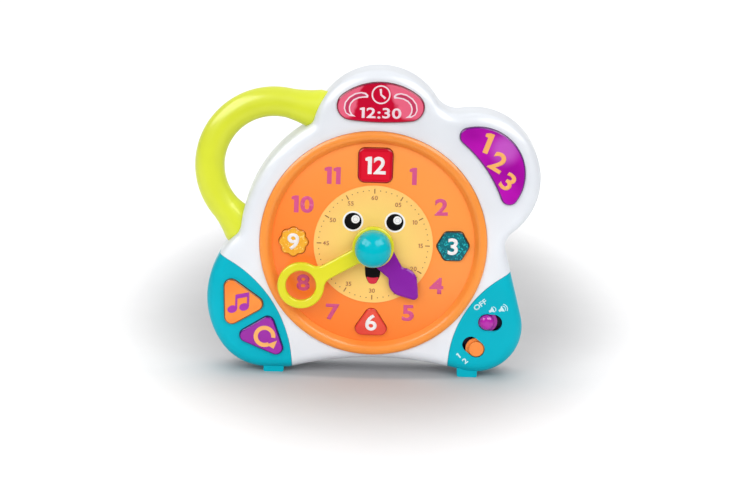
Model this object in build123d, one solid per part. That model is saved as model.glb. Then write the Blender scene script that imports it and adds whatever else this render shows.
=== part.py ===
from build123d import *
import math
import os

# Teaching clock for a small child, in millimetres. It is drawn with the dial's axis at x = 0 and
# z = 0, and with depth 0 at the flat front of the casing. Depth grows towards the back. At the end
# every piece moves to the frame it stands in: x and y at the middle of its box, z = 0 on the table.

# Casing: two shells that meet at a parting line
wall = 2.5
front_depth = 22.0
rear_depth = 23.0
front_round = 8.5
rear_round = 8.0
seam = 0.3
fit = 0.2
lip_height = 2.5
lip_thick = 1.2

# Lobes of the outline: place in x and z, then radius
top_lobe = (2.4, 81.4, 51.6)
right_lobe = (75.0, 51.0, 51.5)
right_foot_lobe = (80.6, -64.5, 36.0)
left_lobe = (-62.5, -46.0, 64.5)
left_foot_radius = 42.5
left_foot_turn = 215.0
heel = (-64.0, -93.0, 8.0)
shoulder_land = 15.2
waist_land = 14.2
top_waist = 18.8
right_waist = 14.0
left_waist = 13.0
handle_waist = 10.0
arch_radius = 260.0

# Corner panels, cut from the front shell along two arcs: place, then radius
left_cut = (-158.8, -102.0, 98.7)
right_cut = (144.6, -95.6, 84.6)
panel_gap = 0.3
flange_wall = 2.0
foot_width = 15.5
foot_left = -74.4
foot_right = 75.4
foot_drop = 3.2
foot_front = 4.0
foot_length = 15.0
foot_round = 1.5
foot_sink = 6.0

# Dial
rim_radius = 87.1
rim_width = 7.1
rim_height = 3.5
rim_slope = 2.4
rim_shoulder = 1.9
dial_back = 4.0
dial_thick = 2.0
centre_rise = 4.0
dial_swell = 0.9
well_floor = 2.5
well_ledge = 4.2
disc_radius = 45.6
disc_thick = 1.2
disc_border = 1.0
post_radius = 3.2
post_circle = 33.0
post_turns = (100.0, 185.0, 330.0)

# Number buttons
number_circle = 61.0
number_face = -2.8
square_side = 26.3
square_round = 5.0
hexagon_flats = 22.8
hexagon_round = 4.0
triangle_width = 24.2
triangle_height = 21.2
triangle_round = 5.0
flower_reach = 11.4
flower_petal = 3.9
flower_hollow = 2.6
flower_petals = 8

# Push buttons
key_gap = 0.35
key_edge = 1.2
key_wall = 1.6
key_flange = 1.2
key_flange_reach = 1.6
key_travel = 1.8
stem_radius = 2.5
stem_length = 2.5
stop_gap = 0.25
dome_height = 2.2
dome_base = 5.0
dome_top = 3.2
dome_skin = 0.8
board_thick = 1.6

# Casing buttons
key_face = -2.6
lens_middle = 2.6
lens_top_z = 124.6
lens_top_radius = 47.0
lens_bottom_z = 94.0
lens_bottom_radius = 200.0
lens_round = 10.8
crescent = (77.6, 56.2, 36.5)
crescent_land = 16.5
crescent_round = 6.5
tune_corners = ((-107.9, -36.7), (-89.2, -49.8), (-107.1, -60.4))
tune_round = 5.8
again_corners = ((-79.6, -64.8), (-72.8, -84.0), (-95.6, -74.8))
again_round = 5.4

# Slide switches: middle of the slot in x and z, then the slope of its run in degrees
volume_place = (91.7, -59.5, -4.0)
tongue_place = (79.6, -79.2, -38.0)
slot_length = 18.6
slot_width = 13.0
slider_radius = 5.8
slider_travel = 5.4
slider_plate = 1.4
slider_plate_reach = 1.7
volume_proud = 4.4
volume_crown = 4.2
tongue_proud = 0.5
tongue_crown = 0.7
lever_sink = 1.2
switch_gap = 1.8
lever_width = 2.2
switch_body = (17.0, 7.0, 4.0)

# Hands, which stand at twenty to five
minute_now = 40.0
hour_now = 140.0
hour_back = -5.0
hour_thick = 3.4
hour_hub = 11.5
hour_waist = 13.6
hour_notch = 3.0
hour_leaf = 10.9
hour_leaf_at = 36.5
hour_tip_at = 50.0
hour_tip_round = 3.2
hour_edge = 1.1
minute_back = -11.4
minute_thick = 4.4
minute_hub = 15.9
minute_arm = 11.6
minute_ring_at = 62.7
minute_ring = 17.9
minute_hole = 11.5
minute_flare = 9.0
minute_hub_flare = 3.0
minute_edge = 1.6
nose_radius = 13.85
nose_skirt = 6.2
arbor_proud = 6.0

# Motion work: the hour wheel turns once for twelve turns of the minute arbor
tooth_size = 0.8
cannon_teeth = 15
minute_teeth = 45
small_teeth = 12
hour_teeth = 48
tooth_shake = 0.16
tooth_rise = 0.9
tooth_fall = 1.15
pressure = math.radians(20)
wheel_turn = 250.0
running = 0.05
pipe_radius = 6.0
arbor_radius = 4.0
pivot_radius = 2.0
stud_radius = 1.5
wheel_thick = 3.0
pinion_overlap = 0.8
brush_thick = 0.4
layer_gap = 0.35
card_thick = 1.6
card_radius = 39.0
plate_thick = 2.0
washer_thick = 0.5
washer_radius = 5.5
boss_radius = 9.5
boss_height = 1.5
card_rest = 2.0
brush_hub = 9.0
brush_reach = 17.0
brush_width = 3.0
brush_fingers = 3
plate_hub = 9.0
plate_bar = 7.0

# Handle: a ring of tube whose two roots run into the casing
handle_x = -77.5
handle_z = 54.5
handle_ring = 49.9
handle_tube = 11.4
handle_wall = 2.4
upper_end = 78.0
lower_end = 222.0
upper_run = 21.3
lower_run = 18.3
root_width = 15.8
root_depth = 13.2
root_tuck = 5.0
tongue_width = 17.0
tongue_thick = 12.0
tongue_reach = 14.0
tongue_pin = 8.0
flare_share = 0.35

# Screws
screw_radius = 1.4
screw_head = 2.8
screw_head_height = 1.8
pilot_radius = 1.45
boss_wall = 2.4
housing_places = ((46.0, 92.0), (97.0, 20.0), (107.5, -66.0), (-92.0, -90.0))
housing_screw_length = 24.0
short_screw = 6.0
screw_recess = 7.0
rear_boss = 4.8
slot_cut = 0.8
slot_deep = 0.9

# Cells and their bay in the back shell
cell_radius = 7.25
cell_length = 50.5
cell_count = 3
cell_pitch = 15.0
contact_room = 3.5
bay_x = 0.0
bay_z = -41.0
bay_wall = 1.8
bay_floor = 1.8
bay_rest = 1.5
door_thick = 2.0
door_gap = 0.3
tab_width = 9.0
tab_at = 18.0
tab_drop = 3.0
tab_thick = 1.5
lug_width = 13.0
lug_reach = 9.5
door_screw_length = 5.0
contact_thick = 0.4
contact_width = 11.0
contact_cone = 4.0
contact_tip = 2.2
tab_window = 6.5
tab_rise = 2.5
door_corner = 2.5
lug_post = 4.2
door_screw_hole = 2.05
cell_nub = 1.2
cell_nub_radius = 2.75
cell_edge = 0.8

# Speaker and its grille
speaker_z = 50.0
speaker_radius = 20.0
speaker_depth = 9.0
speaker_magnet = 11.0
grille_slots = 7
grille_slot = 2.4
grille_pitch = 4.8
grille_radius = 17.0
speaker_wall = 1.6
speaker_step = 2.5
speaker_frame = 1.4
speaker_dust = 5.0

# Small boards
main_board = (-52.0, 36.0, 34.0, 52.0)
main_board_stand = 5.0
peg_radius = 2.2
peg_inset = 4.0
board_pilot = 1.05
board_screw_radius = 1.0
board_screw_length = 5.0
board_head = 1.9
board_head_height = 1.2
top_peg_at = 18.0
top_peg_z = 90.6
dial_peg_turns = (45.0, 135.0, 225.0, 315.0)
lobe_pegs = ((58.8, 84.4), (104.5, 28.9))
corner_pegs = ((-92.4, -35.8), (-111.5, -72.5))
switch_pegs = ((100.0, -45.0), (95.0, -84.0))
peg_pad = 4.0
dial_board_outer = 74.0
dial_board_inner = 45.0
led_radius = 2.0
led_height = 2.4
led_turn = 7.0
chip_radius = 5.0
chip_height = 1.6
corner_board = ((-104.0, -37.0), (-91.0, -36.0), (-76.0, -64.0), (-75.0, -84.0), (-96.0, -79.0), (-111.0, -72.0))
switch_board_place = (87.0, -66.0, 40.0, 52.0)

rear_face = front_depth + rear_depth
rim_inner = rim_radius - rim_width
well_inner = rim_radius + fit - well_ledge
well_back = dial_back + well_floor
well_outer = rim_radius + fit + wall
handle_depth = front_depth
screw_seat = rear_face - screw_recess
screw_tip = screw_seat - housing_screw_length
main_board_back = rear_face - wall - main_board_stand


def slab(outline, front, back):
    """Solid of a flat outline, drawn in x and z, between two depths."""
    sheet = Plane((0, back, 0), x_dir=(1, 0, 0), z_dir=(0, -1, 0)) * outline
    return extrude(sheet, back - front)


def disc(x, z, radius, front, back):
    """Round solid along the depth."""
    return slab(Pos(x, z) * Circle(radius), front, back)


def block(x, z, width, height, front, back, corner=0.0):
    """Rectangular solid with its middle at x and z."""
    shape = RectangleRounded(width, height, corner) if corner else Rectangle(width, height)
    return slab(Pos(x, z) * shape, front, back)


def turned(points, x=0.0, z=0.0):
    """Solid turned about an axis along the depth, from points of radius and depth."""
    profile = make_face(Polyline(*[(r, d, 0) for r, d in points], close=True))
    return Pos(x, 0, z) * revolve(profile, Axis.Y)


def ring(outer, inner, front, back, x=0.0, z=0.0):
    """Flat ring along the depth."""
    return disc(x, z, outer, front, back) - disc(x, z, inner, front - 1, back + 1)


def front_edges(solid):
    return solid.edges().group_by(Axis.Y)[0]


def back_edges(solid):
    return solid.edges().group_by(Axis.Y)[-1]


def around(turn, reach, x=0.0, z=0.0):
    """Point at a clock angle, in degrees to the right of twelve."""
    angle = math.radians(90 - turn)
    return (x + reach * math.cos(angle), z + reach * math.sin(angle))


def meeting(first, reach_first, second, reach_second):
    """Point at two given reaches from two centres, to the left of the way between them."""
    dx, dz = second[0] - first[0], second[1] - first[1]
    span = math.hypot(dx, dz)
    along = (reach_first**2 - reach_second**2 + span**2) / (2 * span)
    across = math.sqrt(reach_first**2 - along**2)
    return (
        first[0] + (along * dx - across * dz) / span,
        first[1] + (along * dz + across * dx) / span,
    )


def hollow(first, second, radius):
    """Wheel that touches two lobes from outside, on the left of the way between them."""
    x, z = meeting(first, first[2] + radius, second, second[2] + radius)
    return (x, z, radius, -1)


def belt(wheels, grow=0.0):
    """Outline that runs clockwise round wheels of (x, z, radius, side), grown outwards.
    Side is 1 for a lobe, and -1 for a hollow that the outline passes on its inner side."""
    reach = [side * radius + grow for x, z, radius, side in wheels]
    count = len(wheels)
    leave, arrive = [None] * count, [None] * count
    for n in range(count):
        m = (n + 1) % count
        dx, dz = wheels[m][0] - wheels[n][0], wheels[m][1] - wheels[n][1]
        share = (reach[n] - reach[m]) / math.hypot(dx, dz)
        normal = math.atan2(dz, dx) + math.acos(max(-1.0, min(1.0, share)))
        ways = (math.cos(normal), math.sin(normal))
        leave[n] = tuple(c + reach[n] * w for c, w in zip(wheels[n][:2], ways))
        arrive[m] = tuple(c + reach[m] * w for c, w in zip(wheels[m][:2], ways))
        if math.dist(leave[n], arrive[m]) < 0.02:
            arrive[m] = leave[n]
    lines = []
    for n, (x, z, _, side) in enumerate(wheels):
        begin = math.atan2(arrive[n][1] - z, arrive[n][0] - x)
        end = math.atan2(leave[n][1] - z, leave[n][0] - x)
        sweep = (end - begin) % math.tau if side < 0 else -((begin - end) % math.tau)
        middle = begin + sweep / 2
        size = abs(reach[n])
        top = (x + size * math.cos(middle), z + size * math.sin(middle))
        lines.append(ThreePointArc(arrive[n], top, leave[n]))
        follow = arrive[(n + 1) % count]
        if leave[n] != follow:
            lines.append(Line(leave[n], follow))
    return make_face(lines)


def rounded(corners, radius, grow=0.0):
    """Polygon with round corners, from the centres of its corners, taken clockwise."""
    return belt([(x, z, radius, 1) for x, z in corners], grow)


def casing_wheels():
    shoulder = (0.0, 0.0, rim_radius + shoulder_land)
    edge = (0.0, 0.0, rim_radius + waist_land)
    turn = math.radians(left_foot_turn)
    step = left_lobe[2] - left_foot_radius
    left_foot = (
        left_lobe[0] + step * math.cos(turn),
        left_lobe[1] + step * math.sin(turn),
        left_foot_radius,
    )
    return [
        (*top_lobe, 1),
        hollow(top_lobe, right_lobe, top_waist),
        (*right_lobe, 1),
        hollow(right_lobe, edge, right_waist),
        (*right_foot_lobe, 1),
        hollow(right_foot_lobe, heel, arch_radius),
        (*heel, 1),
        (*left_foot, 1),
        (*left_lobe, 1),
        hollow(left_lobe, shoulder, left_waist),
        (*shoulder, 1),
        hollow(shoulder, top_lobe, handle_waist),
    ]


casing_path = casing_wheels()


def casing(grow=0.0):
    return belt(casing_path, grow)


foot_lobe_low = min(casing_path[n][1] - casing_path[n][2] for n in (4, 6, 7))
floor_z = foot_lobe_low - foot_drop


def lens(grow=0.0):
    """Half-moon of the button over the dial."""
    top = (lens_middle, lens_top_z - lens_top_radius, lens_top_radius, 1)
    bottom = (lens_middle, lens_bottom_z + lens_bottom_radius, lens_bottom_radius, 1)
    reach_top = lens_top_radius - lens_round
    reach_bottom = lens_bottom_radius - lens_round
    left = meeting(top, reach_top, bottom, reach_bottom)
    right = (2 * lens_middle - left[0], left[1])
    return belt([(*left, lens_round, 1), top, (*right, lens_round, 1), bottom], grow)


def moon(grow=0.0):
    """Crescent of the button on the right lobe, whose inner side runs round the dial."""
    inner = (0.0, 0.0, rim_radius + crescent_land)
    reach_out = crescent[2] - crescent_round
    reach_in = inner[2] + crescent_round
    upper = meeting(inner, reach_in, crescent, reach_out)
    lower = meeting(crescent, reach_out, inner, reach_in)
    return belt(
        [(*upper, crescent_round, 1), (*crescent, 1), (*lower, crescent_round, 1), (*inner, -1)],
        grow,
    )


def tune(grow=0.0):
    return rounded(tune_corners, tune_round, grow)


def again(grow=0.0):
    return rounded(again_corners, again_round, grow)


def square(grow=0.0):
    half = square_side / 2 - square_round
    x, z = around(0, number_circle)
    corners = ((-half, half), (half, half), (half, -half), (-half, -half))
    return rounded([(x + a, z + b) for a, b in corners], square_round, grow)


def hexagon(grow=0.0):
    reach = (hexagon_flats / 2 - hexagon_round) / math.cos(math.radians(30))
    x, z = around(90, number_circle)
    return rounded([around(90 + 60 * n, reach, x, z) for n in range(6)], hexagon_round, grow)


def triangle(grow=0.0):
    half = triangle_width / 2 - triangle_round
    rise = triangle_height / 2 - triangle_round
    x, z = around(180, number_circle)
    corners = ((0, rise), (half, -rise), (-half, -rise))
    return rounded([(x + a, z + b) for a, b in corners], triangle_round, grow)


def flower(grow=0.0):
    x, z = around(270, number_circle)
    step = 360 / flower_petals
    petals = [
        (*around(step * n, flower_reach - flower_petal, x, z), flower_petal)
        for n in range(flower_petals)
    ]
    wheels = []
    for n, petal in enumerate(petals):
        wheels.append((*petal, 1))
        wheels.append(hollow(petal, petals[(n + 1) % flower_petals], flower_hollow))
    return belt(wheels, grow)


def hour_outline(grow=0.0):
    """Leaf-shaped hour hand that points to twelve."""
    aside = hour_waist / 2 + hour_notch
    notch_z = hour_leaf_at - math.sqrt((hour_leaf + hour_notch) ** 2 - aside**2)
    leaf = (0.0, hour_leaf_at, hour_leaf, 1)
    return belt(
        [
            (0.0, 0.0, hour_hub, 1),
            (-aside, notch_z, hour_notch, -1),
            leaf,
            (0.0, hour_tip_at, hour_tip_round, 1),
            leaf,
            (aside, notch_z, hour_notch, -1),
        ],
        grow,
    )


def minute_outline(grow=0.0):
    """Minute hand that points to twelve: hub, arm and the ring that frames a number."""
    half = minute_arm / 2
    hub = (0.0, 0.0, minute_hub)
    eye = (0.0, minute_ring_at, minute_ring)
    low = half + minute_hub_flare
    high = half + minute_flare
    low_z = math.sqrt((minute_hub + minute_hub_flare) ** 2 - low**2)
    high_z = minute_ring_at - math.sqrt((minute_ring + minute_flare) ** 2 - high**2)
    return belt(
        [
            (*hub, 1),
            (-low, low_z, minute_hub_flare, -1),
            (-high, high_z, minute_flare, -1),
            (*eye, 1),
            (high, high_z, minute_flare, -1),
            (low, low_z, minute_hub_flare, -1),
        ],
        grow,
    )


def gear(teeth, x, z, turn, bore, front, back):
    """Spur gear with a tooth's middle at the clock angle turn."""
    pitch = tooth_size * teeth / 2
    base = pitch * math.cos(pressure)
    tip = pitch + tooth_size * tooth_rise
    root = pitch - tooth_size * tooth_fall
    half = (math.pi * tooth_size / 2 - tooth_shake) / (2 * pitch)
    lean = math.acos(base / tip)
    low = half + math.tan(pressure) - pressure
    high = low - (math.tan(lean) - lean)
    points = []
    for n in range(teeth):
        middle = turn + 360 * n / teeth
        for reach, side in ((root, -low), (tip, -high), (tip, high), (root, low)):
            points.append(around(middle + math.degrees(side), reach, x, z))
    wheel = slab(make_face(Polyline(*points, close=True)), front, back)
    return wheel - disc(x, z, bore, front - 1, back + 1)


def push_key(outline, x, z, face, under):
    """Cap with a round edge, a stop flange, a hollow back and a stem that meets its dome."""
    back = under + key_flange
    cap = slab(outline(), face, back)
    cap = fillet(front_edges(cap), key_edge)
    cap += slab(outline(key_flange_reach), under, back)
    cap -= slab(outline(-key_wall), face + key_wall, back + 1)
    return cap + disc(x, z, stem_radius, face + key_wall / 2, back + stem_length)


def dome(x, z, under):
    """Silicone dome between a key's stem and its board."""
    top = under + key_flange + stem_length + stop_gap
    low = top + dome_height
    skin = [(0, top), (dome_top, top), (dome_base, low), (dome_base - dome_skin, low)]
    skin += [(dome_top - dome_skin, top + dome_skin), (0, top + dome_skin)]
    return turned(skin, x, z)


def board_depth(under):
    return under + key_flange + stem_length + stop_gap + dome_height


def pegs(places, front, back):
    """Small posts with a blind hole in the end for a board's screw."""
    solid = None
    for x, z in places:
        peg = disc(x, z, peg_radius, front, back)
        peg -= disc(x, z, board_pilot, back - board_screw_length, back + 1)
        solid = peg if solid is None else solid + peg
    return solid


def board_screws(places, back):
    """Screws that hold a board whose back is at this depth."""
    return [
        disc(x, z, board_head, back, back + board_head_height)
        + disc(x, z, board_screw_radius, back - board_screw_length + board_thick + fit, back)
        for x, z in places
    ]


def holed(board, places):
    for x, z in places:
        board -= disc(x, z, board_pilot, -5, rear_face)
    return board


def hands_turned(solid, turn):
    return Rot(0, turn, 0) * solid


# Key depths: under the casing's front wall, and behind the dial
casing_under = wall + stop_gap
dial_under = dial_back + stop_gap
casing_board = board_depth(casing_under)
dial_board_at = board_depth(dial_under)

switch_front = casing_under + slider_plate + switch_gap
switch_board_at = switch_front + switch_body[2]

square_place = around(0, number_circle)
hexagon_place = around(90, number_circle)
triangle_place = around(180, number_circle)
flower_place = around(270, number_circle)
number_keys = {
    "button_12": (square, square_place),
    "button_3": (hexagon, hexagon_place),
    "button_6": (triangle, triangle_place),
    "button_9": (flower, flower_place),
}
lens_place = (lens_middle, (lens_top_z + lens_bottom_z) / 2)
moon_reach = math.hypot(*crescent[:2])
moon_middle = (rim_radius + crescent_land + moon_reach + crescent[2]) / 2
moon_place = (crescent[0] * moon_middle / moon_reach, crescent[1] * moon_middle / moon_reach)
tune_place = tuple(sum(c) / 3 for c in zip(*tune_corners))
again_place = tuple(sum(c) / 3 for c in zip(*again_corners))

top_pegs = ((lens_middle - top_peg_at, top_peg_z), (lens_middle + top_peg_at, top_peg_z))
dial_pegs = tuple(around(turn, number_circle) for turn in dial_peg_turns)


# Layers of the motion work, from the back of the dial
dial_rim_front = dial_back - dial_thick
dial_centre_front = dial_rim_front - centre_rise
dial_middle_front = (dial_rim_front + dial_centre_front) / 2 - dial_swell
dial_centre_back = dial_centre_front + dial_thick
card_front = dial_centre_back + boss_height + stop_gap
card_back = card_front + card_thick
brush_front = card_back + stop_gap
hour_wheel_front = brush_front + brush_thick
hour_wheel_back = hour_wheel_front + wheel_thick
minute_wheel_front = hour_wheel_back + layer_gap + pinion_overlap
minute_wheel_back = minute_wheel_front + wheel_thick
cannon_front = hour_wheel_back + layer_gap
cannon_back = minute_wheel_back + layer_gap
washer_front = cannon_back + stop_gap
train_back = washer_front + washer_thick + stop_gap
train_plate_back = train_back + plate_thick
train_reach = tooth_size * (cannon_teeth + minute_teeth) / 2
wheel_place = around(wheel_turn, train_reach)
hour_front = hour_back - hour_thick
minute_front = minute_back - minute_thick


bay_length = cell_length + 2 * contact_room
bay_height = cell_pitch * cell_count + (cell_pitch - 2 * cell_radius)
cell_depth = rear_face - door_thick - door_gap - cell_radius - fit
bay_front = cell_depth - cell_radius - fit - bay_floor
bay_back = rear_face - door_thick - fit
door_low = bay_z - bay_height / 2 - bay_rest
door_high = bay_z + bay_height / 2 + bay_rest
lug_z = door_high + lug_reach - lug_width / 2


def handle_frame(end, side):
    """Start, heading and crosswise direction of a straight run at an end of the handle's ring."""
    angle = math.radians(end)
    start = (handle_x + handle_ring * math.cos(angle), handle_z + handle_ring * math.sin(angle))
    heading = (side * math.sin(angle), -side * math.cos(angle))
    return start, heading


def along(run, reach):
    (x, z), (ux, uz) = run
    return (x + ux * reach, z + uz * reach)


upper = handle_frame(upper_end, 1)
lower = handle_frame(lower_end, -1)
handle_pins = (along(upper, upper_run + tongue_pin), along(lower, lower_run + tongue_pin))
housing_screw_places = (*housing_places, *handle_pins)


def across_run(run, reach):
    """Plane square to a handle run, with its own x along the depth."""
    x, z = along(run, reach)
    heading = run[1]
    return Plane((x, handle_depth, z), x_dir=(0, 1, 0), z_dir=(heading[0], 0, heading[1]))


def root(run, length, grow=0.0):
    """Flare of the tube from its round run to the wide root at the casing."""
    tube = across_run(run, 0) * Circle(handle_tube + grow)
    middle = across_run(run, length / 2) * Ellipse(
        handle_tube + grow + (root_depth - handle_tube) * flare_share,
        handle_tube + grow + (root_width - handle_tube) * flare_share,
    )
    wide = across_run(run, length) * Ellipse(root_depth + grow, root_width + grow)
    flare = loft([tube.faces()[0], middle.faces()[0], wide.faces()[0]])
    return flare + extrude(wide, root_tuck + grow)


def handle_body(grow=0.0):
    """Bow of round tube between the two flared roots."""
    section = across_run(upper, 0) * Circle(handle_tube + grow)
    centre = Axis((handle_x, handle_depth, handle_z), (0, -1, 0))
    bow = revolve(section, centre, lower_end - upper_end)
    return bow + root(upper, upper_run, grow) + root(lower, lower_run, grow)


def tongue(run, length, grow=0.0):
    """Flat tongue inside the casing, at the closed end of a root."""
    near = length + root_tuck - handle_wall / 2
    shape = Rectangle(tongue_thick + 2 * grow, tongue_width + 2 * grow)
    return extrude(across_run(run, near) * shape, tongue_reach + handle_wall / 2 - root_tuck)


handle_hole = handle_body(fit)


def front_shell():
    """White front shell with its dial well, key holes and posts, before the corners are cut away."""
    outer = slab(casing(), 0, front_depth)
    outer = fillet(front_edges(outer), front_round)
    inner = slab(casing(-wall), wall, front_depth + 1)
    inner = fillet(front_edges(inner), front_round - wall)
    return outer, inner


shell_outer, shell_inner = front_shell()


def corner(cut, shrink):
    """Round tool that parts a corner panel from the front shell."""
    x, z, radius = cut
    return disc(x, z, radius + shrink, -1, front_depth + 2)


def screw_bosses(places):
    solid = None
    for x, z in places:
        post = disc(x, z, pilot_radius + boss_wall, wall / 2, front_depth)
        post -= disc(x, z, pilot_radius, screw_tip - fit, front_depth + 1)
        solid = post if solid is None else solid + post
    return solid


def key_hole(outline):
    """Hole for a key in the front wall, with room behind it for the key's flange."""
    room = slab(outline(key_flange_reach + stop_gap), wall, casing_under + key_flange + key_travel)
    return slab(outline(key_gap), -1, casing_under) + room


def make_front_housing():
    shell = shell_outer - corner(left_cut, panel_gap / 2) - corner(right_cut, panel_gap / 2)
    hollow_part = shell_inner
    hollow_part -= corner(left_cut, panel_gap / 2 + flange_wall)
    hollow_part -= corner(right_cut, panel_gap / 2 + flange_wall)
    shell -= hollow_part
    well = disc(0, 0, well_outer, wall / 2, well_back) & shell_outer
    well -= corner(left_cut, panel_gap / 2)
    well -= corner(right_cut, panel_gap / 2)
    shell += well
    shell -= disc(0, 0, rim_radius + fit, -rim_height, dial_back)
    shell -= disc(0, 0, well_inner, -rim_height, front_depth)
    shell -= key_hole(lens) + key_hole(moon)
    shell += screw_bosses([*housing_places[:2], *handle_pins])
    shell += pegs(top_pegs, wall / 2, casing_board)
    shell += pegs(lobe_pegs, wall / 2, casing_board)
    return shell - handle_hole


def foot(x, front):
    shape = block(x, (floor_z + foot_lobe_low) / 2 + foot_sink / 2, foot_width,
                  foot_lobe_low - floor_z + foot_sink, front, front + foot_length)
    return fillet(shape.edges().filter_by(Axis.Y).group_by(Axis.Z)[0], foot_round)


def corner_panel(cut, keys, slots, screw, peg_places, peg_back, foot_x):
    """Teal corner of the front shell, with its own wall along the cut and its foot."""
    panel = shell_outer & corner(cut, -panel_gap / 2)
    panel -= shell_inner & corner(cut, -panel_gap / 2 - flange_wall)
    for outline in keys:
        panel -= key_hole(outline)
    panel += foot(foot_x, foot_front)
    panel += screw_bosses([screw])
    panel += pegs(peg_places, wall / 2, peg_back)
    for place in slots:
        panel -= slot_tool(place)
    return panel


def slot_shape(place, width, length):
    x, z, slope = place
    return Pos(x, z) * Rot(0, 0, slope) * SlotOverall(length, width)


def slot_tool(place):
    """Slot through the panel with a round front edge."""
    return slab(slot_shape(place, slot_width, slot_length), -1, wall + 1)


def slider_start(place, way):
    """Middle of a slider's knob when it stands at one end of its slot."""
    x, z, slope = place
    angle = math.radians(slope)
    return (x + way * slider_travel / 2 * math.cos(angle), z + way * slider_travel / 2 * math.sin(angle))


volume_start = slider_start(volume_place, -1)
tongue_start = slider_start(tongue_place, 1)


def slider(start, proud, crown):
    """Round knob over a plate that is wider than its slot, with a stem into its switch."""
    x, z = start
    plate_front = casing_under
    plate_back = plate_front + slider_plate
    knob = disc(x, z, slider_radius, -proud, plate_front)
    knob = fillet(front_edges(knob), crown)
    knob += disc(x, z, slot_width / 2 + slider_plate_reach, plate_front, plate_back)
    return knob + disc(x, z, lever_width / 2, plate_back, switch_front + lever_sink)


def slide_switch(place):
    """Body of a slide switch, with the groove its lever runs in."""
    x, z, slope = place
    length, width, depth = switch_body
    turn = Pos(x, z) * Rot(0, 0, slope)
    body = slab(turn * Rectangle(length, width), switch_front, switch_front + depth)
    groove = SlotOverall(slider_travel + lever_width + 2 * stop_gap, lever_width + 2 * stop_gap)
    return body - slab(turn * groove, switch_front - 1, switch_front + lever_sink + stop_gap)


def make_dial_bezel():
    """Orange rim: a round crest, and a flank that slopes down to the dial."""
    foot_in = rim_inner - rim_slope
    crest = -rim_height
    lines = [
        Line((foot_in, dial_rim_front), (rim_radius, dial_rim_front)),
        Line((rim_radius, dial_rim_front), (rim_radius, crest + rim_shoulder)),
        ThreePointArc(
            (rim_radius, crest + rim_shoulder),
            ((rim_radius + rim_inner) / 2, crest),
            (rim_inner, crest + rim_shoulder),
        ),
        Line((rim_inner, crest + rim_shoulder), (foot_in, dial_rim_front)),
    ]
    return revolve(make_face(lines), Axis.Y)


def make_dial_plate():
    """Clear orange dial that swells towards its middle, with the posts of the motion work."""
    bore = pipe_radius + running
    flat = disc_radius + disc_border
    edge = rim_inner - rim_slope
    middle = (flat + edge) / 2
    lines = [
        Line((bore, dial_centre_front), (flat, dial_centre_front)),
        ThreePointArc((flat, dial_centre_front), (middle, dial_middle_front), (edge, dial_rim_front)),
        Line((edge, dial_rim_front), (rim_radius, dial_rim_front)),
        Line((rim_radius, dial_rim_front), (rim_radius, dial_back)),
        Line((rim_radius, dial_back), (edge, dial_back)),
        ThreePointArc(
            (edge, dial_back), (middle, dial_middle_front + dial_thick), (flat, dial_centre_back)
        ),
        Line((flat, dial_centre_back), (bore, dial_centre_back)),
        Line((bore, dial_centre_back), (bore, dial_centre_front)),
    ]
    plate = revolve(make_face(lines), Axis.Y)
    plate += ring(boss_radius, bore, dial_centre_back - fit, dial_centre_back + boss_height)
    plate += ring(card_radius, card_radius - card_rest, dial_centre_back - fit, card_front)
    for turn in post_turns:
        x, z = around(turn, post_circle)
        plate += disc(x, z, post_radius, dial_centre_back - fit, train_back)
        plate -= disc(x, z, board_pilot, train_back - short_screw, train_back + 1)
    x, z = around(wheel_turn, train_reach)
    plate += disc(x, z, stud_radius + boss_wall, dial_centre_back - fit, dial_centre_back + boss_height)
    plate -= disc(x, z, stud_radius, dial_centre_back, rear_face)
    for outline, _ in number_keys.values():
        plate -= slab(outline(key_gap), number_face - 1, dial_under)
    return plate + pegs(dial_pegs, dial_middle_front + dial_thick / 2, dial_board_at)


def make_encoder_card():
    card = ring(card_radius, boss_radius + fit, card_front, card_back)
    for turn in post_turns:
        x, z = around(turn, post_circle)
        card -= disc(x, z, post_radius + fit, card_front - 1, card_back + 1)
    x, z = wheel_place
    return card - disc(x, z, stud_radius + boss_wall + fit, card_front - 1, card_back + 1)


def make_contact_brush():
    """Spring brush on the hour wheel, with three fingers that run on the card's tracks."""
    brush = ring(brush_hub, pipe_radius + running, brush_front, hour_wheel_front)
    for n in range(brush_fingers):
        finger = Rot(0, 120 * n, 0) * block(0, brush_reach / 2, brush_width, brush_reach,
                                           brush_front, hour_wheel_front)
        brush += finger
    return brush - disc(0, 0, pipe_radius + running, brush_front - 1, hour_wheel_front + 1)


def make_hour_wheel():
    turn = wheel_turn + 180 / hour_teeth
    wheel = gear(hour_teeth, 0, 0, turn, arbor_radius + running, hour_wheel_front, hour_wheel_back)
    return wheel + ring(pipe_radius, arbor_radius + running, hour_front, hour_wheel_front)


def make_minute_wheel():
    x, z = wheel_place
    bore = stud_radius + running
    turn = wheel_turn + 180
    wheel = gear(minute_teeth, x, z, turn + 180 / minute_teeth, bore, minute_wheel_front, minute_wheel_back)
    return wheel + gear(small_teeth, x, z, turn, bore, hour_wheel_front, minute_wheel_front)


def make_minute_arbor():
    """Arbor with its cannon pinion, from the knob to the pivot in the train plate."""
    arbor = disc(0, 0, arbor_radius, minute_front - arbor_proud, cannon_front)
    arbor += gear(cannon_teeth, 0, 0, wheel_turn, pivot_radius / 2, cannon_front, cannon_back)
    arbor += disc(0, 0, pivot_radius, cannon_front, train_plate_back)
    return arbor


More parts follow.
